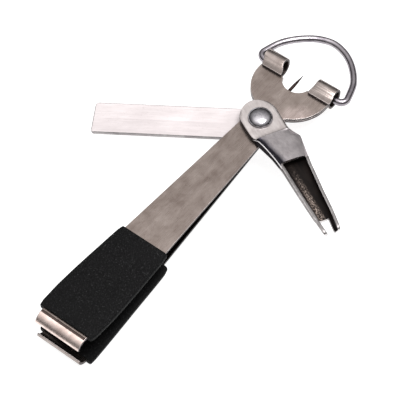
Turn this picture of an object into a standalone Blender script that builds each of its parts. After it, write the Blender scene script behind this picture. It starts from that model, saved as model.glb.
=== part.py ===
"""Four-in-one line nipper: two sprung steel arms with cutting jaws and rubber
grips, a knot tying trough and a hook sharpening bar that both turn on one rivet,
an eye clearing needle between the plates and a wire bail in rolled tabs.

Frame: metres, +Z up.  The origin is on the rivet's axis, on the flat end of its
tail.  +X runs from the cutting jaws towards the bail, +Y to the sharpener's side.
"""
import math

import bmesh
import bpy
from mathutils import Vector

MM = 0.001

# ---- driving dimensions, millimetres ------------------------------------
ZT = 2.65                   # top face of the upper plate above the rivet's tail
SHEET = 0.50                # sheet thickness of the plates and arms
PLATE_GAP = 0.10            # between the two stacked plates
Z_LOW = -SHEET - PLATE_GAP  # top face of the lower plate
DISC_X, DISC_Y, DISC_R = 10.63, 0.17, 8.0
NOTCH_X, NOTCH_Y, NOTCH_R = 12.40, 0.10, 3.00
PLATE_END = 11.70           # far end of the upper plate, between the rolled tabs
TAB_START = 11.40           # where the lower plate's tabs leave its disc
BEND_X = -3.20              # arms bend away from each other here
SLOPE_UP = 0.0415           # rise of the upper arm from the plates, per unit length
SLOPE_LOW = 0.0748          # fall of the lower arm, which is bent further
NECK_HALF = 3.10            # half width of the neck at the rivet
TAPER_UP = 0.0440           # growth of each arm's half width per unit length
TAPER_LOW = 0.0310
NECK_LOW = 2.98
JAW_HALF = 4.85             # half width at the cutting jaws
GRIP_HALF = 5.45            # half width of the steel inside the grips
JAW_X = -57.50              # jaws curl over from here
JAW_R = 2.30                # outer radius of the curled jaws
JAW_SWEEP = math.radians(79.0)
EDGE = 0.10                 # thickness left at the ground cutting edge
FLEX_GAP = 0.20             # slit between the upper plate and its flexing arm

HOLE_R = 1.30
SHAFT_R = 1.21
DOME_R = 2.32
DOME_H = 1.15
TAIL_R = 2.10
TAIL_H = 0.60
WASHER = 0.10               # running clearance between stacked layers

PAD_R = 3.78                # knot tool: round end
PAD_U = -0.70
PAD_N = 0.17
PAD_T = 1.00
TOOL_ANG = math.radians(-118.95)
TOOL_BRIDGE = 12.50         # length under the folded bridge
TOOL_END = 29.40
TOOL_NOTCH = 26.10
TOOL_WALL = 0.62

BAR_ANG = math.radians(120.85)
BAR_END = 32.10
BAR_HALF = 3.59
BAR_SIDE = 0.21              # the bar is not quite central on its rivet
BAR_T = 0.75
BAR_BEND = 1.60

GRIP_X0 = -35.0
GRIP_END_UP, GRIP_END_LOW = -57.00, -57.75
GRIP_WALL = 0.36
GRIP_FIT = 0.08

LOOP_X, LOOP_Z = 13.5, -1.05   # axis that the bail turns about
WIRE_R = 0.72
WIRE_Y = 0.20               # the bail sits a little off centre
TAB_LEFT = (3.30, 7.80)     # where the tabs leave the disc
TAB_RIGHT = (-7.60, -3.20)
NEEDLE_R = 0.28
NEEDLE_TIP = 14.60
NEEDLE_ROOT = 6.60


# ---- helpers -------------------------------------------------------------
for old in list(bpy.data.objects):
    bpy.data.objects.remove(old, do_unlink=True)


def material(name, colour, rough, metal):
    m = bpy.data.materials.new(name)
    m.use_nodes = True
    b = m.node_tree.nodes["Principled BSDF"]
    b.inputs["Base Color"].default_value = (*colour, 1.0)
    b.inputs["Roughness"].default_value = rough
    b.inputs["Metallic"].default_value = metal
    m.diffuse_color = (*colour, 1.0)
    return m


def add(name, bm, mat, origin=(0.0, 0.0, 0.0), smooth=None, tri=False):
    """Object from a bmesh in millimetres, its origin moved to a joint's axis."""
    o = Vector(origin) * MM
    for v in bm.verts:
        v.co = v.co * MM - o
    bmesh.ops.recalc_face_normals(bm, faces=bm.faces)
    if tri:
        bmesh.ops.triangulate(bm, faces=bm.faces)
    me = bpy.data.meshes.new(name)
    bm.to_mesh(me)
    bm.free()
    if smooth is not None:
        me.shade_smooth()
        me.set_sharp_from_angle(angle=math.radians(smooth))
    me.materials.append(mat)
    ob = bpy.data.objects.new(name, me)
    ob.location = o
    bpy.context.collection.objects.link(ob)
    return ob


def cut(ob, tool, op="DIFFERENCE"):
    m = ob.modifiers.new("bool", "BOOLEAN")
    m.operation = op
    m.solver = "EXACT"
    m.object = tool
    tool.hide_render = True
    tool.display_type = "WIRE"


def lerp_table(table, u):
    if u <= table[0][0]:
        return table[0][1]
    for (a, fa), (b, fb) in zip(table, table[1:]):
        if u <= b:
            return fa + (fb - fa) * (u - a) / (b - a)
    return table[-1][1]


def spline(points, per):
    """Catmull-Rom curve through the points."""
    out = []
    n = len(points)
    for i in range(n - 1):
        p0 = points[max(i - 1, 0)]
        p1, p2 = points[i], points[i + 1]
        p3 = points[min(i + 2, n - 1)]
        for k in range(per):
            t = k / per
            out.append(tuple(
                0.5 * (2 * b + (c - a) * t + (2 * a - 5 * b + 4 * c - d) * t * t
                       + (3 * b - a - 3 * c + d) * t ** 3)
                for a, b, c, d in zip(p0, p1, p2, p3)))
    out.append(tuple(points[-1]))
    return out


def cylinder(bm, x, y, z0, z1, r, n=40):
    a = [bm.verts.new((x + r * math.cos(2 * math.pi * i / n),
                       y + r * math.sin(2 * math.pi * i / n), z0)) for i in range(n)]
    b = [bm.verts.new((v.co.x, v.co.y, z1)) for v in a]
    for i in range(n):
        j = (i + 1) % n
        bm.faces.new((a[i], a[j], b[j], b[i]))
    bm.faces.new(list(reversed(a)))
    bm.faces.new(b)


def loft(bm, rings):
    """Closed skin through rings of equal length, capped at both ends."""
    rows = [[bm.verts.new(p) for p in ring] for ring in rings]
    m = len(rows[0])
    for a, b in zip(rows, rows[1:]):
        for i in range(m):
            j = (i + 1) % m
            bm.faces.new((a[i], a[j], b[j], b[i]))
    bm.faces.new(list(reversed(rows[0])))
    bm.faces.new(rows[-1])


def turned(bm, profile, n=40):
    """Solid of revolution about Z from (r, z) points, first and last on the axis."""
    bot = bm.verts.new((0, 0, profile[0][1]))
    top = bm.verts.new((0, 0, profile[-1][1]))
    rows = [[bm.verts.new((r * math.cos(2 * math.pi * i / n),
                           r * math.sin(2 * math.pi * i / n), z)) for i in range(n)]
            for r, z in profile[1:-1]]
    for i in range(n):
        j = (i + 1) % n
        bm.faces.new((bot, rows[0][j], rows[0][i]))
        bm.faces.new((rows[-1][i], rows[-1][j], top))
        for a, b in zip(rows, rows[1:]):
            bm.faces.new((a[i], a[j], b[j], b[i]))


# ---- arms ----------------------------------------------------------------
WIDTH_UP = ((-57.2, JAW_HALF), (-55.4, GRIP_HALF), (-44.0, GRIP_HALF),
            (-38.0, NECK_HALF + TAPER_UP * 38.0), (0.0, NECK_HALF), (3.0, NECK_HALF))
WIDTH_LOW = ((-57.2, JAW_HALF), (-55.4, 5.34), (-50.0, 5.26), (-44.0, 5.08),
             (-38.0, 4.60), (-35.0, NECK_LOW + TAPER_LOW * 35.0),
             (0.0, NECK_LOW), (3.0, NECK_LOW))
ARM_X = (-10.0, -20.0, -30.0, -35.0, -38.0, -44.0, -50.0, -55.4, -57.2)


def arm_half(x, side):
    """Half width of the steel along an arm; side is +1 for the upper, -1 for the lower."""
    return lerp_table(WIDTH_UP if side > 0 else WIDTH_LOW, x)


def slope(side):
    return SLOPE_UP if side > 0 else SLOPE_LOW


def arm_sections(x0, side):
    """Outer-face stations of an arm: x, height of the outer face above the plate's
    face, direction of the normal, half width, thickness."""
    out = []
    k_s = slope(side)
    for x in (x0, *ARM_X, JAW_X):
        out.append((x, k_s * max(0.0, BEND_X - x), math.atan(k_s), arm_half(x, side), SHEET))
    z_c = out[-1][1] - JAW_R
    steps = 10
    for k in range(1, steps + 1):
        a = JAW_SWEEP * k / steps
        if a <= math.atan(k_s):
            continue
        t = SHEET if k < steps - 1 else (0.30 if k == steps - 1 else EDGE)
        out.append((JAW_X - JAW_R * math.sin(a), z_c + JAW_R * math.cos(a), a,
                    JAW_HALF, t))
    return out


def arm_rings(x0, side):
    """Rectangular rings of one arm."""
    face = 0.0 if side > 0 else Z_LOW - SHEET
    rings = []
    for k, (x, h, a, w, t) in enumerate(arm_sections(x0, side)):
        if k == 0 and side > 0:
            a = 0.0
        nx, nz = -math.sin(a), math.cos(a)
        # the ground edge loses its outer face, so the inner face keeps its curl
        ox, oz = x - nx * (SHEET - t), h - nz * (SHEET - t)
        ix, iz = x - nx * SHEET, h - nz * SHEET
        zo, zi = ZT + face + side * oz, ZT + face + side * iz
        rings.append([(ox, -w, zo), (ox, w, zo), (ix, w, zi), (ix, -w, zi)])
    return rings


def plate_outline(x_far):
    """Plan of the disc end, anticlockwise from the neck's right corner."""
    pts = []
    x0 = BEND_X
    w = arm_half(x0, 1)
    pts.append((x0, -w))
    yj = NECK_HALF
    a0 = math.atan2(-yj - DISC_Y, -math.sqrt(DISC_R ** 2 - (yj + DISC_Y) ** 2))
    # right side of the disc, to where the tab leaves it
    ye = TAB_RIGHT[0]
    a1 = math.atan2(ye - DISC_Y, x_far - DISC_X)
    a1 = math.asin((ye - DISC_Y) / DISC_R)
    n = 20
    for k in range(n + 1):
        a = a0 + (a1 - a0) * k / n
        x = DISC_X + DISC_R * math.cos(a)
        if x > x_far - 0.05:
            break
        pts.append((x, DISC_Y + DISC_R * math.sin(a)))
    pts.append((x_far, TAB_RIGHT[0]))
    pts.append((x_far, TAB_RIGHT[1]))
    # U notch
    b0 = math.atan2(-NOTCH_R, x_far - NOTCH_X - 0.35)
    n = 18
    for k in range(n + 1):
        b = -math.pi / 2 - math.pi * k / n
        px = NOTCH_X - 0.35 + NOTCH_R * math.cos(b)
        py = NOTCH_Y + NOTCH_R * math.sin(b)
        if px > x_far - 0.05:
            px = x_far - 0.05
        pts.append((px, py))
    pts.append((x_far, TAB_LEFT[0]))
    pts.append((x_far, TAB_LEFT[1]))
    yl = TAB_LEFT[1]
    a2 = math.asin((yl - DISC_Y) / DISC_R)
    a3 = math.pi - math.asin((yj - DISC_Y) / DISC_R)
    n = 20
    for k in range(n + 1):
        a = a2 + (a3 - a2) * k / n
        x = DISC_X + DISC_R * math.cos(a)
        if x > x_far - 0.05:
            continue
        pts.append((x, DISC_Y + DISC_R * math.sin(a)))
    pts.append((x0, w))
    return pts


def extruded(bm, outline, z0, z1):
    a = [bm.verts.new((x, y, z0)) for x, y in outline]
    b = [bm.verts.new((x, y, z1)) for x, y in outline]
    n = len(a)
    for i in range(n):
        j = (i + 1) % n
        bm.faces.new((a[i], a[j], b[j], b[i]))
    bm.faces.new(list(reversed(a)))
    bm.faces.new(b)


def tab_path():
    """Mid line of a rolled tab in XZ, from the lower plate round to the flap's end."""
    z0 = Z_LOW - SHEET / 2
    flap = 0.10 + SHEET / 2
    ctrl = ((TAB_START - 0.5, z0), (TAB_START - 0.05, z0), (11.78, -1.22), (12.10, -2.02),
            (12.72, -2.76), (13.60, -3.00), (14.52, -2.76), (15.14, -2.05), (15.32, -1.10),
            (15.16, -0.10), (14.62, 0.60), (13.80, 0.85), (13.02, 0.70), (12.42, 0.44),
            (11.80, flap), (10.85, flap))
    return spline(ctrl, 3)


# edges of each tab along its path: share of the path, right edge, left edge
EDGES_LEFT = ((0.0, 3.30, 7.70), (0.14, 3.90, 8.20), (0.28, 4.40, 8.75), (0.78, 4.40, 8.80),
              (0.90, 3.70, 8.25), (1.0, 3.24, 7.85))
EDGES_RIGHT = ((0.0, -7.60, -3.20), (0.28, -7.62, -3.42), (0.80, -7.62, -3.42),
               (1.0, -8.00, -3.15))


def ribbon_rings(path, half_t, edges):
    """Rectangular rings of a strip that follows a path in XZ between two edge lines."""
    rings = []
    n = len(path)
    for i, (x, z) in enumerate(path):
        xa, za = path[max(i - 1, 0)]
        xb, zb = path[min(i + 1, n - 1)]
        d = math.hypot(xb - xa, zb - za)
        nx, nz = -(zb - za) / d, (xb - xa) / d
        y0 = lerp_table([(e[0], e[1]) for e in edges], i / (n - 1))
        y1 = lerp_table([(e[0], e[2]) for e in edges], i / (n - 1))
        rings.append([(x + nx * half_t, y0, z + nz * half_t + ZT),
                      (x + nx * half_t, y1, z + nz * half_t + ZT),
                      (x - nx * half_t, y1, z - nz * half_t + ZT),
                      (x - nx * half_t, y0, z - nz * half_t + ZT)])
    return rings


# ---- materials -----------------------------------------------------------
STEEL_LOW = material("steel_lower", (0.42, 0.37, 0.35), 0.34, 1.0)
STEEL_UP = material("steel_upper", (0.45, 0.40, 0.38), 0.34, 1.0)
STEEL_ARM = material("steel_arm", (0.47, 0.42, 0.40), 0.34, 1.0)
STEEL_TOOL = material("steel_tool", (0.50, 0.47, 0.47), 0.32, 1.0)
STEEL_BAR = material("steel_bar", (0.90, 0.86, 0.86), 0.45, 1.0)
CHROME = material("chrome_rivet", (0.60, 0.60, 0.62), 0.12, 1.0)
WIRE = material("wire", (0.62, 0.60, 0.62), 0.16, 1.0)
NEEDLE = material("needle_steel", (0.18, 0.14, 0.14), 0.3, 1.0)
RUBBER_U = material("grip_rubber_upper", (0.022, 0.022, 0.023), 0.75, 0.0)
RUBBER_L = material("grip_rubber_lower", (0.020, 0.020, 0.021), 0.75, 0.0)


def guide(name, build):
    """A cutter: a closed body kept out of the model."""
    bm = bmesh.new()
    build(bm)
    ob = add(name, bm, NEEDLE, tri=True)
    ob.hide_render = True
    ob.display_type = "WIRE"
    return ob


hole_cutter = guide("cut_rivet_hole", lambda bm: cylinder(bm, 0, 0, -2.0, 6.0, HOLE_R))


def groove(bm):
    r = NEEDLE_R + 0.07
    n = 16
    z = ZT - SHEET - PLATE_GAP / 2
    rings = []
    for x in (NEEDLE_ROOT - 0.3, NOTCH_X + 0.5):
        rings.append([(x, DISC_Y * 0 + 0.08 + r * math.cos(2 * math.pi * i / n),
                       z + r * math.sin(2 * math.pi * i / n)) for i in range(n)])
    loft(bm, rings)


groove_cutter = guide("cut_needle_groove", groove)

# lower plate: disc, rolled tabs, arm and jaw are one stamping
bm = bmesh.new()
extruded(bm, plate_outline(TAB_START), ZT + Z_LOW - SHEET, ZT + Z_LOW)
lower_plate = add("lower_plate", bm, STEEL_LOW)


def lower_arm_part(bm):
    loft(bm, arm_rings(BEND_X + 0.6, -1))


union_arm = guide("add_lower_arm", lower_arm_part)
union_tab_l = guide("add_left_tab", lambda bm: loft(bm, ribbon_rings(
    tab_path(), SHEET / 2, EDGES_LEFT)))
union_tab_r = guide("add_right_tab", lambda bm: loft(bm, ribbon_rings(
    tab_path(), SHEET / 2, EDGES_RIGHT)))
cut(lower_plate, union_arm, "UNION")
cut(lower_plate, union_tab_l, "UNION")
cut(lower_plate, union_tab_r, "UNION")
cut(lower_plate, hole_cutter)
cut(lower_plate, groove_cutter)

# upper plate: the disc end of the upper stamping, held between the tabs
bm = bmesh.new()
extruded(bm, plate_outline(PLATE_END), ZT - SHEET, ZT)
upper_plate = add("upper_plate", bm, STEEL_UP)
cut(upper_plate, hole_cutter)
cut(upper_plate, groove_cutter)

# upper arm: the part of the upper stamping that flexes, with its jaw
bm = bmesh.new()
loft(bm, arm_rings(BEND_X - FLEX_GAP, 1))
HINGE = (BEND_X, 0.0, ZT + (Z_LOW - SHEET) / 2)
upper_arm = add("upper_arm", bm, STEEL_ARM, HINGE)


# ---- grips ---------------------------------------------------------------
GRIP_UP = ((GRIP_END_UP, 5.72), (-56.6, 5.93), (-56.0, 6.03), (-52.0, 6.14), (-48.0, 6.04),
           (-44.0, 5.84), (-40.0, 5.60), (-36.0, 5.35), (GRIP_X0, 5.10))
GRIP_LOW = ((GRIP_END_LOW, 5.78), (-57.0, 5.93), (-54.0, 5.90), (-50.0, 5.80), (-44.0, 5.62),
            (-38.6, 5.50), (-36.0, 5.40), (GRIP_X0, 5.10))


def rounded_rect(w, z0, z1, r, n=4):
    pts = []
    for cy, cz, a0 in ((w - r, z1 - r, 0.0), (-w + r, z1 - r, 0.5),
                       (-w + r, z0 + r, 1.0), (w - r, z0 + r, 1.5)):
        for k in range(n + 1):
            a = math.pi * (a0 + 0.5 * k / n)
            pts.append((cy + r * math.cos(a), cz + r * math.sin(a)))
    return pts


def grip_rings(side, inner):
    face = 0.0 if side > 0 else Z_LOW - SHEET
    table = GRIP_UP if side > 0 else GRIP_LOW
    end = table[0][0]
    if inner:
        xs = [x for x in (GRIP_X0 + 1.0, *ARM_X[3:]) if x > end] + [end - 1.0]
    else:
        xs = [x for x, w in reversed(table)]
    rings = []
    for x in xs:
        h = slope(side) * (BEND_X - x)
        hi, lo = h, h - SHEET
        if inner:
            w = arm_half(max(x, -57.2), side) + GRIP_FIT
            ring = rounded_rect(w, lo - GRIP_FIT, hi + GRIP_FIT, 0.02, 1)
        else:
            w = lerp_table(table, x)
            g = GRIP_WALL + GRIP_FIT
            ring = rounded_rect(w, lo - g, hi + g, 0.48)
        rings.append([(x, y, ZT + face + side * z) for y, z in ring])
    return rings


for side, name, mat, org in ((1, "upper_grip_sleeve", RUBBER_U, HINGE),
                             (-1, "lower_grip_sleeve", RUBBER_L, (0, 0, 0))):
    bm = bmesh.new()
    loft(bm, grip_rings(side, False))
    ob = add(name, bm, mat, org, smooth=40)
    cutter = guide("cut_" + name, lambda b: loft(b, grip_rings(side, True)))
    cut(ob, cutter)

# ---- needle and rivet ----------------------------------------------------
bm = bmesh.new()
z_n = ZT - SHEET - PLATE_GAP / 2
rings = []
for x, r in ((NEEDLE_ROOT, NEEDLE_R * 0.8), (NEEDLE_ROOT + 0.15, NEEDLE_R),
             (NEEDLE_TIP - 3.0, NEEDLE_R), (NEEDLE_TIP - 1.6, NEEDLE_R * 0.62),
             (NEEDLE_TIP - 0.5, NEEDLE_R * 0.26), (NEEDLE_TIP, 0.025)):
    rings.append([(x, 0.08 + r * math.cos(2 * math.pi * i / 14),
                   z_n + r * math.sin(2 * math.pi * i / 14)) for i in range(14)])
loft(bm, rings)
add("eye_needle", bm, NEEDLE, smooth=40)

pad_bottom = ZT + WASHER
dome_z = pad_bottom + PAD_T + WASHER
bar_top = ZT + Z_LOW - SHEET - WASHER
tail_top = bar_top - BAR_T - WASHER
bm = bmesh.new()
profile = [(0, tail_top - TAIL_H), (TAIL_R - 0.25, tail_top - TAIL_H),
           (TAIL_R, tail_top - TAIL_H + 0.25), (TAIL_R, tail_top), (SHAFT_R, tail_top),
           (SHAFT_R, dome_z), (DOME_R, dome_z), (DOME_R, dome_z + 0.12)]
for k in range(1, 9):
    a = math.pi / 2 * k / 9
    profile.append((DOME_R * math.cos(a), dome_z + 0.12 + (DOME_H - 0.12) * math.sin(a)))
profile.append((0, dome_z + DOME_H))
turned(bm, profile)
add("pivot_rivet", bm, CHROME, smooth=40)


# ---- knot tool -----------------------------------------------------------
def tool_left(u):
    if u <= PAD_U:
        return PAD_N - math.sqrt(max(0.0, PAD_R ** 2 - (u - PAD_U) ** 2)) + 0.02
    return lerp_table(((PAD_U, PAD_N - PAD_R), (1.2, -3.57), (3.2, -3.46), (5.0, -3.28), (7.0, -2.85),
                       (10.0, -2.20), (12.5, -1.95), (14.0, -1.85), (20.0, -1.68),
                       (28.0, -1.30), (29.5, -1.12)), u)


def tool_right(u):
    if u <= PAD_U:
        return PAD_N + math.sqrt(max(0.0, PAD_R ** 2 - (u - PAD_U) ** 2)) + 0.02
    return lerp_table(((PAD_U, PAD_N + PAD_R), (1.8, 3.95), (4.2, 4.05), (5.6, 4.45), (7.0, 5.00),
                       (10.0, 4.45), (12.5, 4.07), (14.0, 3.86), (18.0, 3.50),
                       (20.6, 3.22), (25.0, 2.88), (28.0, 2.50), (29.5, 2.28)), u)


def tool_crease(u):
    return lerp_table(((3.4, 0.60), (7.0, 1.55), (12.5, 2.45), (29.5, 2.95)), u)


def tool_bottom(u):
    return lerp_table(((3.4, WASHER), (6.0, 0.24), (14.0, 0.60), (29.5, 1.26)), u)


def tool_top(u):
    return lerp_table(((4.0, WASHER + PAD_T), (12.5, 3.42)), u)


def tool_section(u, shrink=0.0, open_top=False, flat=False):
    """Section across the tool at distance u, as (n, z) points."""
    nl, nr = tool_left(u) + shrink, tool_right(u) - shrink
    zc, zb, zt = tool_crease(u), tool_bottom(u) + shrink, tool_top(u) - shrink
    c, w = (nl + nr) / 2, (nr - nl) / 2
    k = lerp_table(((3.4, 0.25), (9.0, 0.72)), u)   # 0 square, 1 round
    pts = []
    m = 12
    for i in range(m + 1):
        a = math.pi + math.pi * i / m
        ca, sa = math.cos(a), math.sin(a)
        pts.append((c + w * math.copysign(abs(ca) ** k, ca),
                    zc - (zc - zb) * abs(sa) ** k))
    if open_top:
        pts.append((nr, 8.0))
        pts.append((nl, 8.0))
        for _ in range(5):
            pts.append((nl, 7.9 - 0.1 * _))
        return pts
    if flat:
        for i in range(7):
            t = (i + 1) / 8
            pts.append((nr + (nl - nr) * t, zc + 1e-4 * math.sin(math.pi * t)))
        return pts
    ridge = lerp_table(((3.0, 0.25), (5.0, 1.75), (7.0, 2.05), (12.5, 0.98)), u)
    corner = nl + (ridge if shrink == 0 else ridge * 0.9)
    for i in range(6):
        t = (i + 1) / 6
        s = 1 - t
        pts.append((nr + (corner - nr) * t, zc + (zt - zc) * (1 - s ** 4)))
    pts.append((nl + (corner - nl) * 0.5, zc + (zt - zc) * 0.5))
    return pts


ub, un = (math.cos(TOOL_ANG), math.sin(TOOL_ANG)), (-math.sin(TOOL_ANG), math.cos(TOOL_ANG))


def tool_ring(u, pts):
    return [(u * ub[0] + n * un[0], u * ub[1] + n * un[1], ZT + z) for n, z in pts]


bm = bmesh.new()
us = [PAD_U - PAD_R * math.cos(math.pi / 2 * k / 10) for k in range(0, 11)]
us[0] += 0.03
us += [0.6, 1.8, 3.0, 3.6, 4.2, 5.0, 6.0, 7.0, 8.5, 10.0, TOOL_BRIDGE]
gutter_us = (TOOL_BRIDGE + 0.01, 14.0, 17.0, 20.6, 25.0, 28.0, TOOL_END)
loft(bm, [tool_ring(u, tool_section(u)) for u in us]
     + [tool_ring(u, tool_section(u, flat=True)) for u in gutter_us])
knot_tool = add("knot_tool", bm, STEEL_TOOL, smooth=40, tri=True)
inner = guide("cut_tool_hollow", lambda b: loft(
    b, [tool_ring(u, tool_section(u, TOOL_WALL)) for u in (6.2, 7.0, 8.5, 10.0, TOOL_BRIDGE + 0.03)]
    + [tool_ring(u, tool_section(u, TOOL_WALL, True))
       for u in (TOOL_BRIDGE + 0.05, 14.0, 17.0, 20.6, 25.0, 28.0, TOOL_END + 0.5)]))


def tip_notch(b):
    rings = []
    for u in (TOOL_NOTCH, TOOL_END + 0.5):
        nl, nr = tool_left(u) + 0.85, tool_right(u) - 1.00
        zc = tool_crease(u) - 0.75
        rings.append(tool_ring(u, [(nl, -1.0), (nr, -1.0), (nr, zc), (nl, zc)]))
    loft(b, rings)


notch_cut = guide("cut_tip_notch", tip_notch)
cut(knot_tool, inner)
cut(knot_tool, notch_cut)
cut(knot_tool, hole_cutter)

# ---- sharpening bar ------------------------------------------------------
bu = (math.cos(BAR_ANG), math.sin(BAR_ANG))
bn = (-math.sin(BAR_ANG), math.cos(BAR_ANG))


def bar_point(u, n, z):
    z -= SLOPE_LOW * max(0.0, u - BAR_BEND)
    n -= BAR_SIDE
    return (u * bu[0] + n * bn[0], u * bu[1] + n * bn[1], z)


bm = bmesh.new()
rings = []
stations = []
for k in range(0, 11):
    a = math.pi / 2 * k / 10
    stations.append((-BAR_HALF * math.cos(a), max(0.12, BAR_HALF * math.sin(a))))
stations += [(BAR_BEND, BAR_HALF), (BAR_END - 0.7, BAR_HALF)]
for k in range(1, 6):
    a = math.pi / 2 * k / 5
    stations.append((BAR_END - 0.7 + 0.7 * math.sin(a), BAR_HALF - 0.7 + 0.7 * math.cos(a)))
for u, w in stations:
    rings.append([bar_point(u, -w, bar_top), bar_point(u, w, bar_top),
                  bar_point(u, w, bar_top - BAR_T), bar_point(u, -w, bar_top - BAR_T)])
loft(bm, rings)
bar = add("sharpener_bar", bm, STEEL_BAR)


def bar_groove(b):
    rings = []
    for u in (7.0, BAR_END - 2.2):
        rings.append([bar_point(u, -0.28, bar_top + 0.2), bar_point(u, 0.28, bar_top + 0.2),
                      bar_point(u, 0.12, bar_top - 0.14), bar_point(u, -0.12, bar_top - 0.14)])
    loft(b, rings)


cut(bar, guide("cut_bar_groove", bar_groove))
cut(bar, hole_cutter)

# ---- bail ----------------------------------------------------------------
def bail_path():
    half = []
    for y in (4.7, 6.0, 7.5, 8.6):
        half.append((LOOP_X, y))
    rc = 1.35
    for k in range(1, 6):
        a = math.pi / 2 * k / 6
        half.append((LOOP_X + rc - rc * math.cos(a), 8.6 + rc * math.sin(a)))
    ctrl = [(LOOP_X + rc, 8.6 + rc), (18.2, 8.85), (20.5, 7.38), (22.7, 5.2),
            (24.25, 2.8), (24.95, 0.0), (24.3, -2.85), (22.85, -5.3), (20.65, -7.5),
            (18.3, -8.95), (LOOP_X + rc, -8.6 - rc)]
    half2 = [(x, -y) for x, y in reversed(half)]
    return [(x, y + WIRE_Y) for x, y in half + spline(ctrl, 5) + half2]


path = bail_path()
bm = bmesh.new()
rings = []
for i, (x, y) in enumerate(path):
    xa, ya = path[max(i - 1, 0)]
    xb, yb = path[min(i + 1, len(path) - 1)]
    d = math.hypot(xb - xa, yb - ya)
    nx, ny = -(yb - ya) / d, (xb - xa) / d
    rings.append([(x + nx * WIRE_R * math.cos(t), y + ny * WIRE_R * math.cos(t),
                   ZT + LOOP_Z + WIRE_R * math.sin(t))
                  for t in (2 * math.pi * j / 12 for j in range(12))])
loft(bm, rings)
add("ring_bail", bm, WIRE, (LOOP_X, 0.0, ZT + LOOP_Z), smooth=40)
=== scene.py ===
import math

import bmesh
import bpy
import numpy as np
from mathutils import Matrix, Vector


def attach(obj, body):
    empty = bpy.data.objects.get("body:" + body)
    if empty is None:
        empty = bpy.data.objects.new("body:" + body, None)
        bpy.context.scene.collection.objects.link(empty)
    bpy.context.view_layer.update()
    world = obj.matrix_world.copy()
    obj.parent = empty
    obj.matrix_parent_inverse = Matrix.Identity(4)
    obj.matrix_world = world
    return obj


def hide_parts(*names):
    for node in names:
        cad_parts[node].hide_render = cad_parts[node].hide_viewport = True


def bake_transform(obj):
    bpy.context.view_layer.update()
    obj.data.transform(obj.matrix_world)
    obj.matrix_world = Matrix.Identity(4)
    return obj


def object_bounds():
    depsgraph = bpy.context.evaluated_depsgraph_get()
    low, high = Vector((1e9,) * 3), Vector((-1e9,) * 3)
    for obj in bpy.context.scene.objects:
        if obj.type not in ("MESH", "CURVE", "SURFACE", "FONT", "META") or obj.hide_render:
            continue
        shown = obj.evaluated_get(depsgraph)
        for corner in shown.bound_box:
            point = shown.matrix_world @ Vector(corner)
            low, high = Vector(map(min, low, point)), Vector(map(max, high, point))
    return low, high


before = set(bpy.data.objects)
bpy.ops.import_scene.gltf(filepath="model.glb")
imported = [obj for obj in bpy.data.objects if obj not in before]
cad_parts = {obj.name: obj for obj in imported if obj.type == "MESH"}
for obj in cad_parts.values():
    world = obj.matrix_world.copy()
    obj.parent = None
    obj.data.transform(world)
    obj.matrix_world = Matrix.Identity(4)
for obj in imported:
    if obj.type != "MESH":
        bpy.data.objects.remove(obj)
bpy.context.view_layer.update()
MM = 0.001
ZT = 2.65
SHEET, GAP = 0.50, 0.10
BEND_X, JAW_X, JAW_R, JAW_HALF = -3.20, -57.50, 2.30, 4.85
JAW_SWEEP = math.radians(79.0)
SLOPE_UP, SLOPE_LOW = 0.0415, 0.0748
DISC_X, DISC_Y, DISC_R = 10.63, 0.17, 8.0
NOTCH_X, NOTCH_Y, NOTCH_R = 12.40, 0.10, 3.00
PLATE_END, TAB_START = 11.70, 11.40
TOOL_ANG, BAR_ANG = math.radians(-118.95), math.radians(120.85)


# ---- helpers -------------------------------------------------------------
def lerp(table, u):
    if u <= table[0][0]:
        return table[0][1]
    for (a, fa), (b, fb) in zip(table, table[1:]):
        if u <= b:
            return fa + (fb - fa) * (u - a) / (b - a)
    return table[-1][1]


def soft(table, u, reach=0.9):
    """The table with its corners rounded off."""
    return (lerp(table, u - reach) + 2 * lerp(table, u) + lerp(table, u + reach)) / 4


def spline(points, per):
    out = []
    n = len(points)
    for i in range(n - 1):
        p0, p1, p2, p3 = points[max(i - 1, 0)], points[i], points[i + 1], points[min(i + 2, n - 1)]
        for k in range(per):
            t = k / per
            out.append(tuple(0.5 * (2 * b + (c - a) * t + (2 * a - 5 * b + 4 * c - d) * t * t
                                    + (3 * b - a - 3 * c + d) * t ** 3)
                             for a, b, c, d in zip(p0, p1, p2, p3)))
    out.append(tuple(points[-1]))
    return out


def rows_of(bm, rings):
    return [[bm.verts.new(p) for p in ring] for ring in rings]


def skin(bm, rows, closed=True):
    m = len(rows[0])
    for a, b in zip(rows, rows[1:]):
        for i in range(m if closed else m - 1):
            j = (i + 1) % m
            bm.faces.new((a[i], a[j], b[j], b[i]))


def loft(bm, rings, caps=True):
    rows = rows_of(bm, rings)
    skin(bm, rows)
    if caps:
        bm.faces.new(list(reversed(rows[0])))
        bm.faces.new(rows[-1])
    return rows


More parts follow.
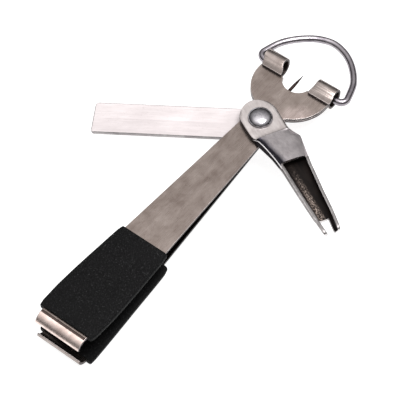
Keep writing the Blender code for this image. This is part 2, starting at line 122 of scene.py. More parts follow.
def piece(name, bm, mats, nodes, body, smooth=38, weighted=True, bevel=None):
    """Object from a bmesh in millimetres whose z is zero on the upper plate's top face."""
    for v in bm.verts:
        v.co = Vector((v.co.x, v.co.y, v.co.z + ZT)) * MM
    bmesh.ops.remove_doubles(bm, verts=bm.verts, dist=2e-7)
    bmesh.ops.recalc_face_normals(bm, faces=bm.faces)
    bmesh.ops.triangulate(bm, faces=[f for f in bm.faces if len(f.verts) > 4])
    me = bpy.data.meshes.new(name)
    bm.to_mesh(me)
    bm.free()
    me.shade_smooth()
    me.set_sharp_from_angle(angle=math.radians(smooth))
    for m in (mats if isinstance(mats, (list, tuple)) else [mats]):
        me.materials.append(m)
    ob = bpy.data.objects.new(name, me)
    bpy.context.scene.collection.objects.link(ob)
    if bevel:
        b = ob.modifiers.new("bevel", "BEVEL")
        b.width = bevel * MM
        b.segments = 2
        b.limit_method = "ANGLE"
        b.angle_limit = math.radians(40)
        b.harden_normals = False
    if weighted:
        w = ob.modifiers.new("normals", "WEIGHTED_NORMAL")
        w.keep_sharp = True
    if isinstance(body, tuple):
        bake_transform(ob)
    else:
        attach(ob, body)
    if nodes:
        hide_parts(*nodes)
    return ob


# ---- materials -----------------------------------------------------------
class Tree:
    def __init__(self, name):
        self.mat = bpy.data.materials.new(name)
        self.mat.use_nodes = True
        self.nt = self.mat.node_tree
        self.b = self.nt.nodes["Principled BSDF"]
        self.co = self.nt.nodes.new("ShaderNodeTexCoord").outputs["Object"]

    def node(self, kind, **kw):
        n = self.nt.nodes.new(kind)
        for k, v in kw.items():
            setattr(n, k, v)
        return n

    def link(self, a, b):
        self.nt.links.new(a, b)

    def mapped(self, scale, angle=0.0):
        """Object coordinates in millimetres, turned to the piece's length, then scaled."""
        m = self.node("ShaderNodeMapping")
        m.vector_type = "TEXTURE"
        m.inputs["Rotation"].default_value = (0, 0, angle)
        m.inputs["Scale"].default_value = tuple(MM / s for s in scale)
        self.link(self.co, m.inputs["Vector"])
        return m.outputs["Vector"]

    def noise(self, vec, scale=1.0, detail=3.0, rough=0.55, dist=0.0):
        n = self.node("ShaderNodeTexNoise")
        n.inputs["Scale"].default_value = scale
        n.inputs["Detail"].default_value = detail
        n.inputs["Roughness"].default_value = rough
        n.inputs["Distortion"].default_value = dist
        self.link(vec, n.inputs["Vector"])
        return n.outputs["Fac"]

    def ramp(self, fac, stops):
        r = self.node("ShaderNodeValToRGB")
        el = r.color_ramp.elements
        while len(el) < len(stops):
            el.new(0.5)
        for e, (p, c) in zip(el, stops):
            e.position = p
            e.color = (*c, 1.0) if len(c) == 3 else c
        self.link(fac, r.inputs["Fac"])
        return r.outputs["Color"]

    def mix(self, a, b, fac, mode="MIX"):
        m = self.node("ShaderNodeMix", data_type="RGBA", blend_type=mode)
        if isinstance(fac, (int, float)):
            m.inputs[0].default_value = fac
        else:
            self.link(fac, m.inputs[0])
        for s, v in ((6, a), (7, b)):
            if isinstance(v, tuple):
                m.inputs[s].default_value = (*v, 1.0)
            else:
                self.link(v, m.inputs[s])
        return m.outputs[2]

    def span(self, fac, lo, hi, a=0.25, b=0.75):
        m = self.node("ShaderNodeMapRange")
        m.inputs["From Min"].default_value = a
        m.inputs["From Max"].default_value = b
        m.inputs["To Min"].default_value = lo
        m.inputs["To Max"].default_value = hi
        self.link(fac, m.inputs["Value"])
        return m.outputs["Result"]

    def bump(self, height, strength, distance, after=None):
        n = self.node("ShaderNodeBump")
        n.inputs["Strength"].default_value = strength
        n.inputs["Distance"].default_value = distance * MM
        self.link(height, n.inputs["Height"])
        if after is not None:
            self.link(after, n.inputs["Normal"])
        return n.outputs["Normal"]


def steel(name, dark, light, rough, angle=0.0, grain=(0.10, 7.0, 7.0), fine=0.35,
          mottle=0.22, bump=0.10, metal=1.0, speck=0.0, jaw_painted_light=None, painted_arm_shadow=None, shine=None):
    """Brushed sheet: long grain lines, a broad mottle and small dull specks."""
    t = Tree(name)
    lines = t.noise(t.mapped(grain, angle), 1.0, 4.0, 0.6)
    blot = t.noise(t.mapped((mottle, mottle * 1.6, mottle), angle), 1.0, 5.0, 0.62, 0.4)
    dots = t.noise(t.mapped((2.6, 3.4, 3.4), angle), 1.0, 2.0, 0.6)
    body = t.ramp(blot, [(0.30, dark), (0.52, tuple((a + b) / 2 for a, b in zip(dark, light))),
                         (0.72, light)])
    streak = t.ramp(lines, [(0.30, (0.72, 0.71, 0.70)), (0.55, (1.0, 1.0, 1.0)),
                            (0.80, (1.16, 1.16, 1.16))])
    col = t.mix(body, streak, fine, "MULTIPLY")
    spots = t.ramp(dots, [(0.22, (0.62, 0.58, 0.55)), (0.40, (1, 1, 1))])
    col = t.mix(col, spots, 0.35 + speck, "MULTIPLY")
    if jaw_painted_light:
        # painted shade: a dark line across the sheet at the bend behind the jaw; in front of it the jaw's curl is
        # made paler as a painted reflection
        sep = t.node("ShaderNodeSeparateXYZ")
        t.link(t.mapped((1, 1, 1)), sep.inputs[0])
        wob = t.node("ShaderNodeMath", operation="MULTIPLY_ADD")
        t.link(dots, wob.inputs[0])
        wob.inputs[1].default_value = 0.12
        t.link(sep.outputs["X"], wob.inputs[2])
        (lo, hi), depth = jaw_painted_light
        mid, wid = (lo + hi) / 2 + 0.06, (hi - lo) / 2
        g = t.node("ShaderNodeMath", operation="COMPARE")
        t.link(wob.outputs[0], g.inputs[0])
        g.inputs[1].default_value = mid
        g.inputs[2].default_value = wid
        # painted reflection: the jaw's curl made about 2.45 times paler
        jaw = t.ramp(t.span(sep.outputs["X"], 1.0, 0.0, hi - 0.5, hi + 0.02),
                     [(0.02, (1.0, 1.0, 1.0)), (0.35, (2.45, 2.42, 2.46))])
        col = t.mix(col, jaw, 1.0, "MULTIPLY")
        col = t.mix(col, (depth, depth * 0.92, depth * 0.9), g.outputs[0], "MULTIPLY")
    if shine:
        # painted sheen: a paler patch on the disc
        cx, cy, rad = shine
        sep = t.node("ShaderNodeSeparateXYZ")
        t.link(t.mapped((1, 1, 1)), sep.inputs[0])
        parts = []
        for axis, c in (("X", cx), ("Y", cy)):
            d = t.node("ShaderNodeMath", operation="SUBTRACT")
            t.link(sep.outputs[axis], d.inputs[0])
            d.inputs[1].default_value = c
            q = t.node("ShaderNodeMath", operation="MULTIPLY")
            t.link(d.outputs[0], q.inputs[0])
            t.link(d.outputs[0], q.inputs[1])
            parts.append(q)
        add = t.node("ShaderNodeMath", operation="ADD")
        t.link(parts[0].outputs[0], add.inputs[0])
        t.link(parts[1].outputs[0], add.inputs[1])
        near = t.span(add.outputs[0], 1.0, 0.0, 0.0, rad * rad)
        sheen_amount = t.node("ShaderNodeMath", operation="MULTIPLY")
        t.link(near, sheen_amount.inputs[0])
        t.link(t.span(blot, 0.4, 1.3, 0.3, 0.7), sheen_amount.inputs[1])
        col = t.mix(col, t.ramp(sheen_amount.outputs[0], [(0.0, (1, 1, 1)), (1.0, (1.75, 1.74, 1.80))]),
                    1.0, "MULTIPLY")
    if painted_arm_shadow:
        # painted shadow: the stretch of the lower arm behind the grip, under the upper arm, is darkened
        x0, x1, depth = painted_arm_shadow
        sep = t.node("ShaderNodeSeparateXYZ")
        t.link(t.mapped((1, 1, 1)), sep.inputs[0])
        lo = t.span(sep.outputs["X"], 0.0, 1.0, x0, x0 + 2.0)
        hi = t.span(sep.outputs["X"], 1.0, 0.0, x1 - 4.0, x1)
        k = t.node("ShaderNodeMath", operation="MULTIPLY")
        t.link(lo, k.inputs[0])
        t.link(hi, k.inputs[1])
        col = t.mix(col, t.ramp(k.outputs[0], [(0.0, (1, 1, 1)), (1.0, (depth, depth, depth))]),
                    1.0, "MULTIPLY")
    t.link(col, t.b.inputs["Base Color"])
    t.b.inputs["Metallic"].default_value = metal
    t.link(t.span(lines, rough - 0.07, rough + 0.10), t.b.inputs["Roughness"])
    n1 = t.bump(lines, bump, 0.05)
    t.link(t.bump(blot, bump * 0.6, 0.25, n1), t.b.inputs["Normal"])
    return t.mat


def flap_steel(name):
    """Satin sheet of the folded flap, with painted shade where it rolls down to its crease."""
    t = Tree(name)
    sep = t.node("ShaderNodeSeparateXYZ")
    t.link(t.mapped((1, 1, 1), TOOL_ANG), sep.inputs[0])
    lines = t.noise(t.mapped((0.5, 5.0, 5.0), TOOL_ANG), 1.0, 4.0, 0.6)
    blot = t.noise(t.mapped((0.45, 0.7, 0.7), TOOL_ANG), 1.0, 5.0, 0.65, 0.5)
    # distance from the crease, across the tool
    k = t.node("ShaderNodeMath", operation="MULTIPLY_ADD")
    t.link(sep.outputs["X"], k.inputs[0])
    k.inputs[1].default_value = -0.1125
    t.link(sep.outputs["Y"], k.inputs[2])
    wob = t.node("ShaderNodeMath", operation="MULTIPLY_ADD")
    t.link(blot, wob.inputs[0])
    wob.inputs[1].default_value = 0.35
    t.link(k.outputs[0], wob.inputs[2])
    base = t.ramp(blot, [(0.30, (0.70, 0.645, 0.66)), (0.70, (0.97, 0.91, 0.925))])
    base = t.mix(base, t.ramp(lines, [(0.3, (0.80, 0.80, 0.80)), (0.7, (1.08, 1.08, 1.08))]),
                 0.5, "MULTIPLY")
    # painted shade, darkest next to the crease and fading across the flap
    fall = t.span(wob.outputs[0], 0.0, 1.0, -2.98, -1.45)
    shade = t.ramp(fall, [(0.0, (0.035, 0.036, 0.050)), (0.38, (0.085, 0.085, 0.105)),
                          (0.78, (0.70, 0.70, 0.72)), (1.0, (1.0, 1.0, 1.0))])
    t.link(t.mix(base, shade, 1.0, "MULTIPLY"), t.b.inputs["Base Color"])
    t.b.inputs["Metallic"].default_value = 1.0
    t.link(t.span(lines, 0.30, 0.44), t.b.inputs["Roughness"])
    t.link(t.bump(lines, 0.10, 0.05), t.b.inputs["Normal"])
    return t.mat


def trough_steel(name):
    """Inside of the knot tool's trough, painted near-black as shade, paler in flecks along a line on its floor."""
    t = Tree(name)
    vec = t.mapped((1, 1, 1), TOOL_ANG)
    sep = t.node("ShaderNodeSeparateXYZ")
    t.link(vec, sep.inputs[0])
    fleck = t.noise(t.mapped((2.4, 5.0, 5.0), TOOL_ANG), 1.0, 4.0, 0.75, 0.2)
    blot = t.noise(t.mapped((0.35, 0.8, 0.8), TOOL_ANG), 1.0, 4.0, 0.6, 0.4)
    # distance from the fleck line, in millimetres
    d = t.node("ShaderNodeMath", operation="SUBTRACT")
    t.link(sep.outputs["Y"], d.inputs[0])
    d.inputs[1].default_value = 0.28
    ab = t.node("ShaderNodeMath", operation="ABSOLUTE")
    t.link(d.outputs[0], ab.inputs[0])
    near = t.span(ab.outputs[0], 1.0, 0.0, 0.10, 0.85)
    along = t.span(sep.outputs["X"], 0.05, 1.0, 13.5, 22.0)
    k = t.node("ShaderNodeMath", operation="MULTIPLY")
    t.link(near, k.inputs[0])
    t.link(along, k.inputs[1])
    k2 = t.node("ShaderNodeMath", operation="MULTIPLY")
    t.link(k.outputs[0], k2.inputs[0])
    t.link(t.span(fleck, 0.0, 1.0, 0.47, 0.60), k2.inputs[1])
    # near-black base: painted shade inside the trough
    dark = t.ramp(blot, [(0.3, (0.004, 0.003, 0.003)), (0.7, (0.014, 0.010, 0.009))])
    col = t.mix(dark, (0.46, 0.37, 0.32), k2.outputs[0])
    t.link(col, t.b.inputs["Base Color"])
    t.b.inputs["Metallic"].default_value = 0.25
    t.b.inputs["Specular IOR Level"].default_value = 0.12
    t.link(t.span(fleck, 0.45, 0.65), t.b.inputs["Roughness"])
    t.link(t.bump(fleck, 0.25, 0.05), t.b.inputs["Normal"])
    return t.mat


def polished(name, dark, light, rough, scale=0.5):
    t = Tree(name)
    haze = t.noise(t.mapped((scale, scale, scale)), 1.0, 4.0, 0.6, 0.6)
    nick = t.noise(t.mapped((5.0, 5.0, 5.0)), 1.0, 3.0, 0.7)
    t.link(t.mix(t.ramp(haze, [(0.3, dark), (0.7, light)]),
                 t.ramp(nick, [(0.28, (0.7, 0.7, 0.7)), (0.42, (1, 1, 1))]), 0.5, "MULTIPLY"),
           t.b.inputs["Base Color"])
    t.b.inputs["Metallic"].default_value = 1.0
    t.link(t.span(haze, rough * 0.7, rough * 1.5), t.b.inputs["Roughness"])
    n1 = t.bump(nick, 0.10, 0.02)
    t.link(t.bump(haze, 0.12, 0.10, n1), t.b.inputs["Normal"])
    return t.mat


def rubber(name, dark, light):
    """Moulded grip: fine grain that sparkles a little, with rubbed patches."""
    t = Tree(name)
    fine = t.noise(t.mapped((4.2, 4.2, 4.2)), 1.0, 3.0, 0.65)
    cells = t.node("ShaderNodeTexVoronoi")
    cells.inputs["Scale"].default_value = 1.0
    t.link(t.mapped((3.3, 3.3, 3.3)), cells.inputs["Vector"])
    worn = t.noise(t.mapped((0.12, 0.16, 0.16)), 1.0, 4.0, 0.6, 0.3)
    col = t.ramp(fine, [(0.40, dark), (0.56, tuple((a * 3 + b) / 4 for a, b in zip(dark, light))),
                        (0.66, light), (0.76, tuple(min(1, c * 6.0) for c in light))])
    col = t.mix(col, t.ramp(worn, [(0.3, (0.80, 0.80, 0.82)), (0.7, (1.25, 1.25, 1.25))]),
                0.6, "MULTIPLY")
    t.link(col, t.b.inputs["Base Color"])
    t.b.inputs["Specular IOR Level"].default_value = 0.11
    t.link(t.span(worn, 0.58, 0.76), t.b.inputs["Roughness"])
    n1 = t.bump(fine, 0.55, 0.07)
    t.link(t.bump(cells.outputs["Distance"], 0.35, 0.06, n1), t.b.inputs["Normal"])
    return t.mat


# the upper steel has painted shade and a painted reflection at the jaw's bend, and a painted sheen on the disc
STEEL_UP = steel("steel_upper_brushed", (0.225, 0.180, 0.160), (0.400, 0.340, 0.312), 0.29,
                 fine=0.07, mottle=0.26, bump=0.05, speck=0.20, jaw_painted_light=((-57.86, -57.34), 0.10),
                 shine=(4.4, -5.6, 4.2))
# the lower arm's steel and edges carry a painted shadow behind the grip
STEEL_LOW = steel("steel_lower_brushed", (0.26, 0.22, 0.205), (0.42, 0.37, 0.35), 0.26, fine=0.12,
                  painted_arm_shadow=(-40.0, -6.0, 0.06))
# dark copy for side walls and downward rims: the sheared edge's dull finish plus painted shade
SHEAR_AND_SHADE = steel("sheared_edge_painted_shade", (0.035, 0.028, 0.029), (0.105, 0.085, 0.087), 0.52, metal=0.35,
              grain=(2.4, 2.4, 0.5), mottle=0.6)
# bright copy for upward rims: the burr plus a painted highlight
BURR_AND_HIGHLIGHT = steel("rolled_burr_painted_highlight", (0.42, 0.37, 0.36), (0.72, 0.66, 0.64), 0.30, grain=(1.2, 3.0, 3.0))
# lower copies of both, also carrying the painted shadow behind the grip
SHEAR_AND_SHADE_LOW = steel("sheared_edge_lower_painted_shade", (0.035, 0.028, 0.029), (0.105, 0.085, 0.087), 0.52, metal=0.35,
                  grain=(2.4, 2.4, 0.5), mottle=0.6, painted_arm_shadow=(-44.0, -3.0, 0.05))
BURR_AND_HIGHLIGHT_LOW = steel("rolled_burr_lower_painted_highlight", (0.42, 0.37, 0.36), (0.72, 0.66, 0.64), 0.30,
                 grain=(1.2, 3.0, 3.0), painted_arm_shadow=(-44.0, -3.0, 0.05))
# near-black copy of the steel for the inside of the rolled tabs: painted shade
ROLL_INSIDE_SHADE = steel("roll_inside_painted_shade", (0.016, 0.012, 0.011), (0.060, 0.046, 0.042), 0.50, mottle=0.6)
TOOL_STEEL = steel("tool_steel_satin", (0.40, 0.365, 0.365), (0.58, 0.535, 0.54), 0.30,
                   TOOL_ANG, mottle=0.35)
FLAP_STEEL = flap_steel("tool_steel_flap")
# near-white, barely metallic bead: a painted highlight along the crease
BEAD_HIGHLIGHT = steel("tool_steel_edge_painted_highlight", (0.74, 0.72, 0.73), (0.95, 0.93, 0.94), 0.40,
                   TOOL_ANG, grain=(1.2, 4.0, 4.0), mottle=0.8, metal=0.25)
TOOL_INNER = trough_steel("tool_steel_inside")
# brighter copy for cut edges; on the trough's rim bevels it is a painted highlight
TOOL_EDGE = steel("tool_steel_cut_edge", (0.44, 0.42, 0.42), (0.74, 0.72, 0.72), 0.26,
                  TOOL_ANG, grain=(1.6, 3.0, 3.0), mottle=0.9)
# darker copy: painted shade on rim flats, prong sides and the trough's upper left wall
TOOL_RIM = steel("tool_steel_rim_flat", (0.16, 0.15, 0.15), (0.40, 0.38, 0.38), 0.38,
                 TOOL_ANG, grain=(1.4, 4.0, 4.0), mottle=0.9, speck=0.3)
# near-black copy of the tool steel: painted shade on the left wall below the crease, the pad's edges and the
# flap's step
TOOL_WALL = steel("tool_steel_lower_wall", (0.020, 0.018, 0.021), (0.075, 0.068, 0.076), 0.40,
                  TOOL_ANG, mottle=0.5)
PAD_STEEL = steel("tool_steel_pad", (0.50, 0.455, 0.445), (0.66, 0.615, 0.605), 0.36,
                  TOOL_ANG, grain=(0.6, 4.0, 4.0), mottle=0.4)
BAR_STEEL = steel("bar_ground_face", (0.67, 0.61, 0.617), (0.80, 0.740, 0.747), 0.46,
                  BAR_ANG, grain=(0.03, 3.6, 3.6), fine=0.30, mottle=0.10, bump=0.16, metal=0.30)
BAR_EDGE = steel("bar_cut_edge", (0.20, 0.185, 0.19), (0.42, 0.40, 0.40), 0.40,
                 BAR_ANG, grain=(0.4, 3.0, 3.0), mottle=0.4)
CHROME = polished("rivet_polished", (0.26, 0.25, 0.275), (0.50, 0.485, 0.51), 0.15, 0.9)
WIRE = polished("bail_polished_wire", (0.215, 0.195, 0.220), (0.40, 0.375, 0.40), 0.20, 0.35)
NEEDLE = polished("needle_dark_steel", (0.030, 0.018, 0.016), (0.11, 0.075, 0.070), 0.30, 1.2)
RUBBER_U = rubber("grip_upper_grained", (0.0009, 0.0009, 0.0011), (0.015, 0.015, 0.0155))
# darker copy of the same rubber for the lower grip: painted shade
RUBBER_L = rubber("grip_lower_grained", (0.0008, 0.0008, 0.0010), (0.009, 0.009, 0.0095))

# ---- stampings -----------------------------------------------------------
WIDTH_UP = ((-57.2, JAW_HALF), (-55.4, 5.45), (-44.0, 5.45), (-38.0, 3.10 + 0.044 * 38.0),
            (0.0, 3.10), (3.0, 3.10))
WIDTH_LOW = ((-57.2, JAW_HALF), (-55.4, 5.34), (-50.0, 5.26), (-44.0, 5.08), (-38.0, 4.60),
             (-35.0, 2.98 + 0.031 * 35.0), (0.0, 2.98), (3.0, 2.98))
TAB_CTRL = ((TAB_START - 0.5, -0.85), (TAB_START - 0.05, -0.85), (11.78, -1.22), (12.10, -2.02),
            (12.72, -2.76), (13.60, -3.00), (14.52, -2.76), (15.14, -2.05), (15.32, -1.10),
            (15.16, -0.10), (14.62, 0.60), (13.80, 0.85), (13.02, 0.70), (12.42, 0.44),
            (11.80, 0.35), (10.85, 0.35))
EDGES_LEFT = ((0.0, 3.30, 7.70), (0.14, 3.90, 8.20), (0.28, 4.40, 8.75), (0.78, 4.40, 8.80),
              (0.90, 3.70, 8.25), (1.0, 3.24, 7.85))
EDGES_RIGHT = ((0.0, -7.60, -3.20), (0.28, -7.62, -3.42), (0.80, -7.62, -3.42),
               (1.0, -8.00, -3.15))


EDGES_RIGHT = tuple((a, b - 0.24 * min(1.0, a / 0.6), c) for a, b, c in EDGES_RIGHT)


JAW_FRONT = -59.55


def midline(side):
    """Arrays of s, x, z, nx, nz along the middle of a stamping from its jaw to its far end."""
    z_mid = -SHEET / 2 if side > 0 else -SHEET - GAP - SHEET / 2
    phi0 = math.atan(SLOPE_UP if side > 0 else SLOPE_LOW)
    r = JAW_R - SHEET / 2
    s = x = BEND_X + 1.2
    z, ds = 0.0, 0.02
    rows = [(s, x, z, 0.0)]
    phi = 0.0
    while phi > -JAW_SWEEP + 1e-6:
        if x > BEND_X - 1.2:
            t = (BEND_X + 1.2 - x) / 2.4
            phi = phi0 * t * t * (3 - 2 * t)
        elif x > JAW_X + r * math.sin(phi0):
            phi = phi0
        else:
            phi -= ds / r
        s -= ds
        x -= math.cos(phi) * ds
        z += math.sin(phi) * ds
        rows.append((s, x, z, phi))
    rows.reverse()
    out = [(a, b, z_mid + side * c, side * math.sin(p), math.cos(p)) for a, b, c, p in rows]
    if side > 0:
        out.append((14.0, 14.0, z_mid, 0.0, 1.0))
        return np.array(out), None
    pts = spline(TAB_CTRL, 14)
    out.append((pts[0][0] - 0.01, pts[0][0] - 0.01, z_mid, 0.0, 1.0))
    s = pts[0][0]
    shares = []
    for i, (px, pz) in enumerate(pts):
        (xa, za), (xb, zb) = pts[max(i - 1, 0)], pts[min(i + 1, len(pts) - 1)]
        d = math.hypot(xb - xa, zb - za)
        if i:
            s += math.hypot(px - pts[i - 1][0], pz - pts[i - 1][1])
        out.append((s, px, pz, -(zb - za) / d, (xb - xa) / d))
        shares.append((s, i / (len(pts) - 1)))
    return np.array(out), shares


def stamping(side, line, outline, cuts, rim, roll=None):
    """Flat blank with rounded rims, sliced where it bends, then wrapped on its middle line."""
    h = SHEET / 2
    bm = bmesh.new()
    face = bm.faces.new([bm.verts.new((s, y, -h)) for s, y in outline])
    ext = bmesh.ops.extrude_face_region(bm, geom=[face])
    for v in ext["geom"]:
        if isinstance(v, bmesh.types.BMVert):
            v.co.z = h
    bmesh.ops.recalc_face_normals(bm, faces=bm.faces)
    caps = [f for f in bm.faces if len(f.verts) > 4]
    edges = list({e for f in caps for e in f.edges})
    bmesh.ops.bevel(bm, geom=edges, offset=rim, segments=2, profile=0.5, affect="EDGES",
                    clamp_overlap=True)
    bmesh.ops.triangulate(bm, faces=[f for f in bm.faces if len(f.verts) > 4])
    # upward rims take the bright copy as a painted highlight, side walls and downward rims the dark copy as
    # painted shade; past TAB_START the rolled tabs turn the blank over
    for f in bm.faces:
        lit = (f.normal.z > 0) == (f.calc_center_median().x < TAB_START)
        f.material_index = 0 if abs(f.normal.z) >= 0.98 else (2 if lit and abs(f.normal.z) >= 0.2 else 1)
    for s in cuts:
        bmesh.ops.bisect_plane(bm, geom=bm.verts[:] + bm.edges[:] + bm.faces[:], dist=1e-5,
                               plane_co=(s, 0, 0), plane_no=(1, 0, 0))
    bmesh.ops.remove_doubles(bm, verts=bm.verts, dist=1e-4)
    s_jaw = line[0][0]
    for f in bm.faces:
        c = f.calc_center_median()
        # inside faces of the rolled tabs: painted shade
        if roll and f.material_index == 0 and c.z > 0 and roll[0] < c.x < roll[1]:
            f.material_index = 3
        # the jaw's front cut edge takes the bright copy: a painted highlight
        if c.x < s_jaw + 0.03 and f.material_index == 1:
            f.material_index = 2
    for v in bm.verts:
        s, y, z = v.co
        t = min(1.0, 0.2 + 0.8 * max(0.0, s - s_jaw) / 0.55)
        z = -h + (z + h) * t if side > 0 else h - (h - z) * t
        x, zz, nx, nz = (float(np.interp(s, line[:, 0], line[:, k])) for k in (1, 2, 3, 4))
        out = 0.0
        if side < 0 and y > 2.6:
            f = min(1.0, max(0.0, (s - TAB_START + 0.9) / 1.1))
            out = 0.32 * f * f * (3 - 2 * f)
        v.co = Vector((max(x + nx * z + out, JAW_FRONT), y, zz + nz * z))
    return bm


def arm_edge(side, s_jaw):
    """Right edge of an arm from its jaw to the neck as (s, half width)."""
    table = WIDTH_UP if side > 0 else WIDTH_LOW
    pts = [(s_jaw, JAW_HALF - 0.28), (s_jaw + 0.05, JAW_HALF - 0.12), (s_jaw + 0.17, JAW_HALF - 0.02),
           (s_jaw + 0.32, JAW_HALF)]
    pts += [(x, soft(table, x, 0.5)) for x in (-57.0, -56.4, -55.6, -55.0, -50.0, -44.6, -44.0,
                                               -43.4, -38.6, -38.0, -37.4, -35.4, -34.6, -30.0,
                                               -20.0, -10.0, 0.0)]
    return pts


def disc_half(y_sign, x_stop):
    """Points of the disc from the neck to x_stop on one side, with a small fillet."""
    x_n = DISC_X - math.sqrt(DISC_R ** 2 - (y_sign * 3.1 - DISC_Y) ** 2)
    a0 = math.atan2(y_sign * 3.1 - DISC_Y, x_n - DISC_X)
    a1 = math.atan2(y_sign, (x_stop - DISC_X) / DISC_R)
    if y_sign < 0:
        a1 = -math.acos((x_stop - DISC_X) / DISC_R)
        a0 = a0 if a0 < 0 else a0 - 2 * math.pi
    else:
        a1 = math.acos((x_stop - DISC_X) / DISC_R)
    pts = [(x_n - 0.75, y_sign * 3.1), (x_n - 0.32, y_sign * 3.14), (x_n - 0.05, y_sign * 3.33)]
    n = 44
    for k in range(3, n + 1):
        a = a0 + (a1 - a0) * k / n
        pts.append((DISC_X + DISC_R * math.cos(a), DISC_Y + DISC_R * math.sin(a)))
    return pts


def notch(x_stop):
    """The U notch from its right end to its left end."""
    b = math.acos((x_stop - NOTCH_X) / NOTCH_R)
    n = 30
    return [(NOTCH_X + NOTCH_R * math.cos(a), NOTCH_Y + NOTCH_R * math.sin(a))
            for a in (-b - (2 * math.pi - 2 * b) * k / n for k in range(n + 1))]


line_up, _ = midline(1)
s_jaw = line_up[0][0]
right = [(s, -w) for s, w in arm_edge(1, s_jaw)]
left = [(s, w) for s, w in reversed(arm_edge(1, s_jaw))]
outline = (right + disc_half(-1, PLATE_END) + [(PLATE_END, -3.4)] + notch(PLATE_END - 0.25)
           + [(PLATE_END, 3.5)] + list(reversed(disc_half(1, PLATE_END))) + left)
bend_cuts = [BEND_X + 1.2 - 0.2 * k for k in range(13)]
flex_cuts = [-6.0 - 1.5 * k for k in range(17)]
curl_cuts = [s_jaw + 0.14 * k for k in range(1, 26)] + [s_jaw + 0.05]
bm = stamping(1, line_up, outline, bend_cuts + flex_cuts + [-38, -46, -54] + curl_cuts, 0.055)
upper = piece("upper_stamping", bm, [STEEL_UP, SHEAR_AND_SHADE, BURR_AND_HIGHLIGHT, ROLL_INSIDE_SHADE], ["upper_plate", "upper_arm"],
              ("root", "upper_arm", (-0.0032, 0, 0.0021), (-0.0300, 0, 0.0021)), smooth=50)

line_low, shares = midline(-1)
s_jaw = line_low[0][0]
s_far = shares[-1][0]


def tab_points(edges, col, s0, s1, n):
    out = []
    for k in range(n + 1):
        s = s0 + (s1 - s0) * k / n
        u = float(np.interp(s, [a for a, _ in shares], [b for _, b in shares]))
        out.append((s, soft([(e[0], e[col]) for e in edges], u, 0.02)))
    return out


def corner(s, y, ds, dy, r=0.35, n=4):
    """Quarter round at the outline's corner (s, y); ds and dy point into the blank."""
    return [(s + ds * r * (1 - math.cos(a)), y + dy * r * (1 - math.sin(a)))
            for a in (math.pi / 2 * k / n for k in range(n + 1))]


def tab(edges):
    a = tab_points(edges, 1, TAB_START, s_far - 0.35, 26)
    b = list(reversed(tab_points(edges, 2, TAB_START, s_far - 0.35, 26)))
    r = list(reversed(corner(s_far, edges[-1][1], -1, 1)))
    r = [p for p in corner(s_far, edges[-1][1], -1, 1)]
    r.sort(key=lambda p: p[0])
    q = [p for p in corner(s_far, edges[-1][2], -1, -1)]
    q.sort(key=lambda p: -p[0])
    return a + r[1:] + q[:-1] + b


right = [(s, -w) for s, w in arm_edge(-1, s_jaw)]
left = [(s, w) for s, w in reversed(arm_edge(-1, s_jaw))]
outline = (right + disc_half(-1, TAB_START - 0.12) + tab(EDGES_RIGHT) + notch(TAB_START - 0.1)
           + tab(EDGES_LEFT) + list(reversed(disc_half(1, TAB_START - 0.12))) + left)
curl_cuts = [s_jaw + 0.14 * k for k in range(1, 26)] + [s_jaw + 0.05]
roll_cuts = [TAB_START - 0.5 + 0.16 * k for k in range(int((s_far - TAB_START + 0.5) / 0.16))]
bm = stamping(-1, line_low, outline, bend_cuts + [-20, -38, -46, -54] + curl_cuts + roll_cuts, 0.055,
              (TAB_START + 0.35, s_far - 0.2))
lower = piece("lower_stamping", bm, [STEEL_LOW, SHEAR_AND_SHADE_LOW, BURR_AND_HIGHLIGHT_LOW, ROLL_INSIDE_SHADE], ["lower_plate"], "root", smooth=50)


# ---- grip sleeves --------------------------------------------------------
def box_ring(w, z0, z1, r, n=6, bow=0.0):
    pts = []
    for cy, cz, a0 in ((w - r, z1 - r, 0.0), (-w + r, z1 - r, 0.5),
                       (-w + r, z0 + r, 1.0), (w - r, z0 + r, 1.5)):
        for k in range(n + 1):
            a = math.pi * (a0 + 0.5 * k / n)
            pts.append((cy + r * math.cos(a), cz + r * math.sin(a)))
    return pts


GRIP_UP = ((-57.0, 5.72), (-56.6, 5.93), (-56.0, 6.03), (-52.0, 6.14), (-48.0, 6.04),
           (-44.0, 5.84), (-40.0, 5.60), (-36.0, 5.35), (-35.0, 5.10))
GRIP_LOW = ((-57.75, 5.78), (-57.0, 5.93), (-54.0, 5.90), (-50.0, 5.80), (-44.0, 5.62),
            (-38.6, 5.50), (-36.0, 5.40), (-35.0, 5.10))


